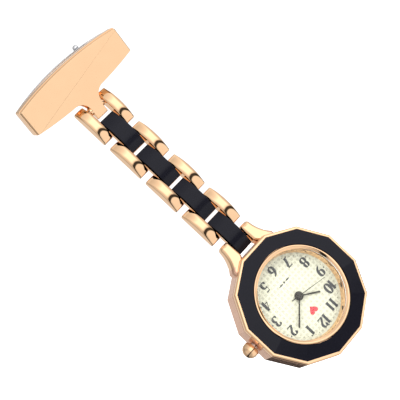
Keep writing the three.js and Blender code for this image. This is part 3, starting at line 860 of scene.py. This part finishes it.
def bezel():
    soft = 0.07
    frame_section = [
        (FLAT_RADIUS - 0.05 - soft, BEZEL_BACK),
        (FLAT_RADIUS - 0.05, BEZEL_BACK + soft),
        (FLAT_RADIUS - 0.05, BEZEL_FRONT + 0.36),
        (FLAT_RADIUS - 0.09, BEZEL_FRONT + 0.24),
        (FLAT_RADIUS - 0.26, BEZEL_FRONT + 0.04),
        (FLAT_RADIUS - 0.34, BEZEL_FRONT),
        (ENAMEL_FLATS / 2 + 0.1, BEZEL_FRONT),
        (ENAMEL_FLATS / 2 + 0.04, BEZEL_FRONT + 0.04),
    ]
    seat_radius = RING_OUTER + 0.05
    seat = turned([(0, BEZEL_FRONT - 1), (seat_radius, BEZEL_FRONT - 1), (seat_radius, 0), (0, 0)])
    bed_radius = ENAMEL_FLATS / 2 + 0.02
    bed = twelve_sided([(bed_radius, BEZEL_FRONT + 0.5), (bed_radius, BEZEL_FRONT - 1)])
    make_piece(
        "bezel_frame",
        twelve_sided(frame_section),
        ROSE_GOLD,
        "watch_head",
        ["bezel"],
        WATCH,
        cuts=[bed, seat],
        sharp=12,
    )


def enamel_ring():
    """Twelve flat facets that rise a little from the bezel's rim towards the crystal's ring."""
    outer_flat = ENAMEL_FLATS / 2 - 0.02
    inner_radius = RING_OUTER + 0.06
    rim_y = BEZEL_FRONT + 0.02
    slope = 0.12
    back_y = BEZEL_FRONT + 0.45
    steps = 8
    vertices = []
    faces = []
    columns = SIDES * steps
    for k in range(columns):
        angle = math.radians(15 + 30 * k / steps)
        off_middle = math.radians(30 * ((k % steps) / steps) - 15)
        outer = outer_flat / math.cos(off_middle)
        direction = (math.sin(angle), math.cos(angle))
        soft = 0.05
        levels = [
            (outer, back_y),
            (outer, rim_y + soft),
            (outer - soft * 0.3, rim_y + soft * 0.3),
            (outer - soft, rim_y - slope * soft),
            (inner_radius, rim_y - slope * (outer_flat - inner_radius * math.cos(off_middle))),
            (inner_radius, back_y),
        ]
        for radius, y in levels:
            vertices.append((radius * direction[0], y, radius * direction[1]))
    for k in range(columns):
        j = (k + 1) % columns
        for level in range(6):
            after = (level + 1) % 6
            faces.append((k * 6 + level, k * 6 + after, j * 6 + after, j * 6 + level))
    make_piece(
        "bezel_black",
        (vertices, faces),
        ENAMEL,
        "watch_head",
        ["bezel_enamel"],
        WATCH,
        sharp=1.2,
    )


def crystal_parts():
    crest = RING_OUTER - 0.32
    section = [(RING_OUTER, BEZEL_BACK), (RING_OUTER, RING_FRONT + 0.3)]
    for angle in (0.35, 0.7, 1.05, 1.4):
        section.append((crest + 0.32 * math.cos(angle), RING_FRONT + 0.3 - 0.3 * math.sin(angle)))
    section += [(crest - 0.1, RING_FRONT + 0.02), (crest - 0.2, RING_FRONT + 0.08)]
    section += [(RING_OPENING + 0.08, RING_FRONT + 0.3), (RING_OPENING, RING_FRONT + 0.36)]
    section += [(RING_OPENING, RING_FRONT + 0.4), (RING_SEAT, RING_FRONT + 0.4), (RING_SEAT, BEZEL_BACK)]
    make_piece(
        "crystal_bezel", turned(section, 144), ROSE_GOLD, "watch_head", ["crystal_ring"], WATCH
    )
    front = RING_FRONT + 0.4
    edge = CRYSTAL_RADIUS
    back = front + 0.9
    glass = turned([(0, front), (edge - 0.1, front), (edge, front + 0.08), (edge, back), (0, back)])
    make_piece("crystal_disc", glass, GLASS, "watch_head", ["crystal"], WATCH)
    wall = [
        (RING_OPENING + 0.05, BEZEL_BACK + 0.05),
        (CASE_BORE - 0.3, BEZEL_BACK + 0.05),
        (CASE_BORE - 0.3, DIAL_FRONT - 0.05),
        (RING_OPENING - 0.3, DIAL_FRONT - 0.05),
    ]
    make_piece("rehaut", turned(wall, 144), ROSE_GOLD, "watch_head", ["rehaut_ring"], WATCH)


def case_back():
    front = CASE_BACK_FRONT + 0.05
    face = CASE_BACK_FACE
    radius = 12.6
    section = [(0, front), (radius - 0.05, front), (radius, front + 0.05), (radius, face - 0.45)]
    section += [(radius - 0.06, face - 0.33), (radius - 0.5, face - 0.03), (radius - 0.62, face)]
    section += [(radius - 1.5, face), (radius - 1.56, face - 0.05), (radius - 1.72, face - 0.05)]
    section += [(radius - 1.78, face), (0, face)]
    notch = moved(plate([(-1.6, -1), (1.6, -1), (1.6, 1), (-1.6, 1)], [(0, front - 0.1), (0, front + 0.35)]),
                  Matrix.Translation((9.2, 0, -9.2)) @ Matrix.Rotation(math.radians(45), 4, "Y"))
    make_piece(
        "case_back_cover",
        turned(section, 128),
        BRUSHED,
        "watch_head",
        ["case_back"],
        WATCH,
        cuts=[notch],
    )


case_middle()
bezel()
enamel_ring()
crystal_parts()
case_back()

# ---- dial: it is printed for a watch that hangs upside down, so its 12 is at the bottom ----

DIAL_RADIUS = 10.9
DIAL_HOLE = 0.95
NUMERAL_RADIUS = 7.55
NUMERAL_HEIGHT = 2.35
UPSIDE_DOWN = Matrix.Rotation(math.pi, 4, "Y")
PRINT_PROUD = 0.025


def stroke(points, pen, thin, thick):
    """A pen line of a width that depends on its direction, as broad-nib numerals have."""
    left = []
    right = []
    for i, point in enumerate(points):
        before = Vector(points[max(0, i - 1)])
        after = Vector(points[min(len(points) - 1, i + 1)])
        direction = (after - before).normalized()
        width = thin + (thick - thin) * abs(direction.y) ** 1.5 if pen else thin
        normal = Vector((-direction.y, direction.x)) * width / 2
        left.append(tuple(Vector(point) + normal))
        right.append(tuple(Vector(point) - normal))
    return right + list(reversed(left))


def serif(x, y, half, height=0.05):
    low = y - height / 2
    high = y + height / 2
    return [(x - half, low), (x + half, low), (x + half, high), (x - half, high)]


def digit_strokes(digit):
    """The strokes of a digit in a box one unit high and about 0.6 wide, each a closed outline."""
    thin = 0.09
    thick = 0.26

    def pen(points):
        return stroke(points, True, thin, thick)

    def bar(points, width=0.06):
        return stroke(points, False, width, width)

    def dot(x, y, radius=0.075):
        return circle(radius, 14, (x, y))

    def line(start, end, steps=4):
        return [tuple(Vector(start).lerp(Vector(end), i / steps)) for i in range(steps + 1)]

    strokes = {
        "0": [pen(arc((0.3, 0.5), (0.235, 0.475), 0, 360, 36))],
        "1": [
            pen(line((0.3, 0.02), (0.3, 0.98))),
            bar(line((0.14, 0.86), (0.3, 0.97)), 0.05),
            serif(0.3, 0.025, 0.17),
        ],
        "2": [
            pen(arc((0.29, 0.71), (0.21, 0.255), 165, -35, 20) + line((0.40, 0.50), (0.06, 0.05))[0:]),
            bar(line((0.05, 0.05), (0.56, 0.05)), 0.10),
            bar(line((0.54, 0.05), (0.58, 0.2)), 0.05),
            dot(0.11, 0.74),
        ],
        "3": [
            pen(arc((0.27, 0.745), (0.19, 0.225), 155, -90, 20)),
            pen(arc((0.26, 0.275), (0.235, 0.25), 90, -150, 22)),
            dot(0.11, 0.80, 0.065),
            dot(0.07, 0.16),
        ],
        "4": [
            pen(line((0.42, 0.02), (0.42, 0.98))),
            bar(line((0.40, 0.96), (0.03, 0.31)), 0.06),
            bar(line((0.02, 0.30), (0.60, 0.30)), 0.075),
            serif(0.42, 0.025, 0.16),
        ],
        "5": [
            bar(line((0.15, 0.93), (0.52, 0.93)), 0.10),
            bar(line((0.16, 0.95), (0.12, 0.54)), 0.055),
            pen(arc((0.27, 0.31), (0.235, 0.28), 128, -150, 24)),
            dot(0.07, 0.17),
        ],
        "6": [
            pen(arc((0.3, 0.3), (0.225, 0.275), 0, 360, 30)),
            pen(arc((0.56, 0.34), (0.485, 0.62), 178, 100, 16)),
        ],
        "7": [
            bar(line((0.04, 0.93), (0.56, 0.93)), 0.10),
            bar(line((0.05, 0.95), (0.04, 0.78)), 0.05),
            pen(quadratic((0.56, 0.92), (0.25, 0.5), (0.24, 0.02), 12)),
        ],
        "8": [
            pen(arc((0.3, 0.745), (0.185, 0.22), 0, 360, 28)),
            pen(arc((0.3, 0.275), (0.225, 0.25), 0, 360, 30)),
        ],
    }
    if digit == "9":
        return [[(0.6 - x, 1 - y) for x, y in outline] for outline in digit_strokes("6")]
    return strokes[digit]


def dial_point(hour):
    """Where an hour is on the dial, as a direction seen from the front with 12 at the top."""
    angle = math.radians(30 * hour)
    return Vector((math.sin(angle), math.cos(angle)))


def printed(outline, proud):
    """A flat printed mark, proud of the dial by its ink."""
    if area(outline) < 0:
        outline = list(reversed(outline))
    vertices, faces = plate(outline, [(0, DIAL_FRONT - proud), (0, DIAL_FRONT + 0.005)])
    return vertices, faces


def numerals():
    parts = []
    for hour in range(1, 13):
        text = str(hour)
        advance = 0.60 if hour < 10 else 0.50
        middle = dial_point(hour) * NUMERAL_RADIUS
        start = -(advance * (len(text) - 1) + 0.6) / 2
        for place, digit in enumerate(text):
            for number, outline in enumerate(digit_strokes(digit)):
                shift = Vector((start + advance * place, -0.5))
                shaped = [tuple(middle + (Vector(p) + shift) * NUMERAL_HEIGHT) for p in outline]
                parts.append(printed(shaped, PRINT_PROUD + 0.001 * number))
    part = moved(joined(*parts), UPSIDE_DOWN)
    make_piece("numerals", part, PRINT, "watch_head", place=WATCH, sharp=30)


def minute_dots():
    parts = []
    for minute in range(60):
        big = minute % 5 == 0
        middle = dial_point(minute / 5) * 8.8
        parts.append(printed(circle(0.17 if big else 0.085, 12, tuple(middle)), PRINT_PROUD))
    part = moved(joined(*parts), UPSIDE_DOWN)
    make_piece("minute_dots", part, PRINT, "watch_head", place=WATCH)


def heart_outline(size):
    points = []
    for i in range(40):
        t = 2 * math.pi * i / 40
        x = 16 * math.sin(t) ** 3
        y = 13 * math.cos(t) - 5 * math.cos(2 * t) - 2 * math.cos(3 * t) - math.cos(4 * t)
        points.append((-x / 32 * size, y / 32 * size))
    return points


def dial_marks():
    """A small red heart on the 12 side, and a thin plain ornament on the 6 side."""
    heart = [(x, z + 4.25) for x, z in heart_outline(2.1)]
    part = plate(heart, rounded(DIAL_FRONT - 0.05, DIAL_FRONT, 0.04, 0))
    make_piece("red_heart", moved(part, UPSIDE_DOWN), RED, "watch_head", place=WATCH)
    z = -4.2
    leaf = quadratic((0.35, z), (1.0, z + 0.3), (1.75, z), 8)
    leaf += quadratic((1.75, z), (1.0, z - 0.3), (0.35, z), 8)
    diamond = [(0.24, z), (0, z + 0.3), (-0.24, z), (0, z - 0.3)]
    parts = [printed(leaf, 0.02), printed([(-x, zz) for x, zz in leaf], 0.02), printed(diamond, 0.02)]
    part = moved(joined(*parts), UPSIDE_DOWN)
    make_piece("dial_ornament", part, PRINT, "watch_head", place=WATCH)


def dial():
    back = DIAL_FRONT + 0.4
    section = [(DIAL_HOLE, DIAL_FRONT), (DIAL_RADIUS, DIAL_FRONT), (DIAL_RADIUS, back), (DIAL_HOLE, back)]
    make_piece("dial_plate", turned(section), LACQUER, "watch_head", ["dial"], WATCH)


dial()
numerals()
minute_dots()
dial_marks()

# ---- hands ----

HOUR_TURN = 304.6
MINUTE_TURN = 50.0
SECOND_TURN = 282.0
HAND_THICKNESS = 0.12


def hand(name, node, front, outline, hub, turn, tube, extra=()):
    """A hand drawn pointing down, at the dial's 12, and turned clockwise about its hub."""
    if area(outline) < 0:
        outline = list(reversed(outline))
    back = front + HAND_THICKNESS
    blade = plate(outline, rounded(front, back, 0.035, 0, 2))
    hub_front = front - 0.02
    hub_back = back + 0.01
    hub_section = [(0, hub_front), (hub - 0.12, hub_front), (hub, front + 0.05)]
    hub_section += [(hub, hub_back), (0, hub_back)]
    pipe = turned([(0, front + 0.05), (tube, front + 0.05), (tube, 0.6), (0, 0.6)], 32)
    round_parts = [turned(hub_section, 48), pipe] + list(extra)
    place = WATCH @ Matrix.Rotation(math.radians(turn), 4, "Y")
    make_piece(name, blade, HAND_PAINT, node, [node], place, joins=round_parts)


def hands():
    hour_front = DIAL_FRONT - 0.32
    minute_front = hour_front - 0.28
    second_front = minute_front - 0.28
    hour = [(-0.13, 0.2), (-0.19, -4.75), (-0.1, -4.95), (0.1, -4.95), (0.19, -4.75), (0.13, 0.2)]
    minute = [(-0.13, 0.2), (-0.19, -6.7), (-0.1, -6.9), (0.1, -6.9), (0.19, -6.7), (0.13, 0.2)]
    second = [(-0.13, 2.1), (-0.09, 0), (-0.05, -7.2), (0.05, -7.2), (0.09, 0), (0.13, 2.1)]
    hand("hour_pointer", "hour_hand", hour_front, hour, 1.0, HOUR_TURN, 0.79)
    hand("minute_pointer", "minute_hand", minute_front, minute, 0.85, MINUTE_TURN, 0.49)
    hand("second_pointer", "second_hand", second_front, second, 0.72, SECOND_TURN, 0.24)


hands()

# ---- crown ----


def crown():
    start = FLAT_RADIUS + 0.32
    length = 2.4
    radius = 1.75
    side = 0.8
    section = [(0, 0), (radius - 0.3, 0), (radius - 0.12, 0.05), (radius, 0.25)]
    for i in range(13):
        angle = (math.pi / 2) * i / 12
        along = side + (length - side) * math.sin(angle)
        section.append((radius * math.cos(angle) if i < 12 else 0, along))
    dome = moved(turned(section, 64), Matrix.Rotation(math.pi / 2, 4, "Z"))
    place = WATCH @ Matrix.Translation((-start, STEM.y, 0))
    hole = rod(-0.65, 1, 0.55, 32)
    make_piece("crown_dome", dome, ROSE_GOLD, "setting_crown", ["crown"], place, cuts=[hole])


crown()

# ---- CAD nodes that stay as they are get their finish ----

CAD_FINISHES = {
    "pin_hinge_bracket": STEEL,
    "pin_hinge_rivet": STEEL,
    "catch_housing": STEEL,
    "catch_roller": STEEL,
    "lug_pin": STEEL,
    "crown_tube": STEEL,
    "setting_stem": STEEL,
    "setting_lever": STEEL,
    "battery_strap": STEEL,
    "battery": BRUSHED,
    "crystal_gasket": NYLON,
    "movement_holder": NYLON,
    "movement_main_plate": BRASS,
    "movement_train_bridge": BRASS,
    "motor_coil": COPPER,
    "circuit_board": BOARD,
    "case_back_gasket": RUBBER,
}
for pair in range(1, LINK_PAIRS + 1):
    CAD_FINISHES[f"link_pin_upper_{pair}"] = STEEL
    CAD_FINISHES[f"link_pin_lower_{pair}"] = STEEL
for node, material in CAD_FINISHES.items():
    NODES[node].data.materials.clear()
    NODES[node].data.materials.append(material)

# ---- floor, light and camera ----


def floor():
    half = 3000
    level = -190
    corners = [(-half, -half, level), (half, -half, level), (half, half, level), (-half, half, level)]
    part = (corners, [(0, 1, 2, 3)])
    thing = bare_object("floor", part)
    nodes = Nodes("floor_paper")
    nodes.set(
        Base_Color=nodes.blend(nodes.noise(40.0), (0.90, 0.90, 0.90, 1), (0.93, 0.93, 0.93, 1)),
        Roughness=0.9,
        Emission_Color=(1, 1, 1, 1),
        Emission_Strength=1.2,
    )
    thing.data.materials.append(nodes.material)
    thing.visible_glossy = False


# the tent's brightness at heights from straight down (-1) to straight up (1), with one dark band low down
TENT_STRENGTH = 1.6
TENT = [
    (-0.98, 0.62),
    (-0.46, 0.66),
    (-0.41, 0.04),
    (-0.27, 0.03),
    (-0.23, 0.50),
    (-0.17, 0.85),
    (-0.08, 1.0),
    (0.35, 1.0),
    (0.60, 0.66),
    (1.0, 0.40),
]
# and how much of that is left from the far left (-1) to the far right (1)
TENT_SIDES = [(-0.98, 0.45), (-0.60, 0.55), (-0.35, 0.95), (0.0, 1.0), (0.75, 1.0), (0.90, 0.50), (1.0, 0.45)]
# and how much of it is left from the front (-1) to the back (1)
TENT_DEPTH = [(-0.98, 1.0), (0.10, 1.0), (0.40, 0.55), (1.0, 0.5)]


def studio_world():
    """A white tent with a narrow dark band, which polished metal reflects. The camera sees plain white."""
    world = bpy.data.worlds.new("studio")
    bpy.context.scene.world = world
    world.use_nodes = True
    tree = world.node_tree
    tree.nodes.clear()

    def add(kind, **settings):
        node = tree.nodes.new(kind)
        for key, value in settings.items():
            setattr(node, key, value)
        return node

    coordinates = add("ShaderNodeTexCoord")
    split = add("ShaderNodeSeparateXYZ")
    tree.links.new(coordinates.outputs["Generated"], split.inputs[0])

    def ramp(axis, stops):
        spread = add("ShaderNodeMapRange")
        spread.inputs["From Min"].default_value = -1
        spread.inputs["From Max"].default_value = 1
        tree.links.new(split.outputs[axis], spread.inputs["Value"])
        colours = add("ShaderNodeValToRGB")
        tree.links.new(spread.outputs["Result"], colours.inputs["Fac"])
        elements = colours.color_ramp.elements
        elements.remove(elements[1])
        for level, brightness in stops:
            element = elements.new((level + 1) / 2)
            element.color = (brightness, brightness, brightness, 1)
        elements.remove(elements[0])
        return colours.outputs["Color"]

    colour = ramp("Z", TENT)
    for axis, stops in (("X", TENT_SIDES), ("Y", TENT_DEPTH)):
        product = add("ShaderNodeVectorMath", operation="MULTIPLY")
        tree.links.new(colour, product.inputs[0])
        tree.links.new(ramp(axis, stops), product.inputs[1])
        colour = product.outputs[0]
    tent = add("ShaderNodeBackground")
    tree.links.new(colour, tent.inputs["Color"])
    tent.inputs["Strength"].default_value = TENT_STRENGTH
    paper = add("ShaderNodeBackground")
    paper.inputs["Color"].default_value = (1, 1, 1, 1)
    paper.inputs["Strength"].default_value = 1.2
    rays = add("ShaderNodeLightPath")
    mix = add("ShaderNodeMixShader")
    tree.links.new(rays.outputs["Is Camera Ray"], mix.inputs[0])
    tree.links.new(tent.outputs[0], mix.inputs[1])
    tree.links.new(paper.outputs[0], mix.inputs[2])
    output = add("ShaderNodeOutputWorld")
    tree.links.new(mix.outputs[0], output.inputs["Surface"])


def softbox(name, place, aim, size, power):
    light = bpy.data.lights.new(name, "AREA")
    light.shape = "RECTANGLE"
    light.size = size[0] * MM
    light.size_y = size[1] * MM
    light.energy = power
    thing = bpy.data.objects.new(name, light)
    bpy.context.scene.collection.objects.link(thing)
    thing.location = Vector(place) * MM
    thing.rotation_mode = "QUATERNION"
    thing.rotation_quaternion = (Vector(aim) - Vector(place)).to_track_quat("-Z", "Y")
    thing.visible_glossy = False


CAMERA_PLACE = Vector((-74.0, -201.0, -44.0))
CAMERA_AIM = Vector((0.9, 0.0, -39.0))
CAMERA_ROLL = -46.75
CAMERA_LENS = 90.0


def camera():
    """A longish lens, rolled so that the watch lies across the picture from corner to corner."""
    data = bpy.data.cameras.new("camera")
    data.lens = CAMERA_LENS
    data.sensor_width = 36.0
    data.clip_start = 0.001
    data.clip_end = 100.0
    thing = bpy.data.objects.new("camera", data)
    bpy.context.scene.collection.objects.link(thing)
    thing.location = CAMERA_PLACE * MM
    level = (CAMERA_AIM - CAMERA_PLACE).to_track_quat("-Z", "Y")
    roll = Matrix.Rotation(math.radians(CAMERA_ROLL), 4, "Z")
    thing.rotation_mode = "QUATERNION"
    thing.rotation_quaternion = (level.to_matrix().to_4x4() @ roll).to_quaternion()
    bpy.context.scene.camera = thing


floor()
studio_world()
middle = (0, 0, -42)
softbox("key_softbox", (-150, -260, 260), middle, (220, 220), 3.4)
softbox("fill_softbox", (260, -180, 40), middle, (160, 260), 1.3)
camera()
bpy.context.scene.view_settings.view_transform = "Standard"
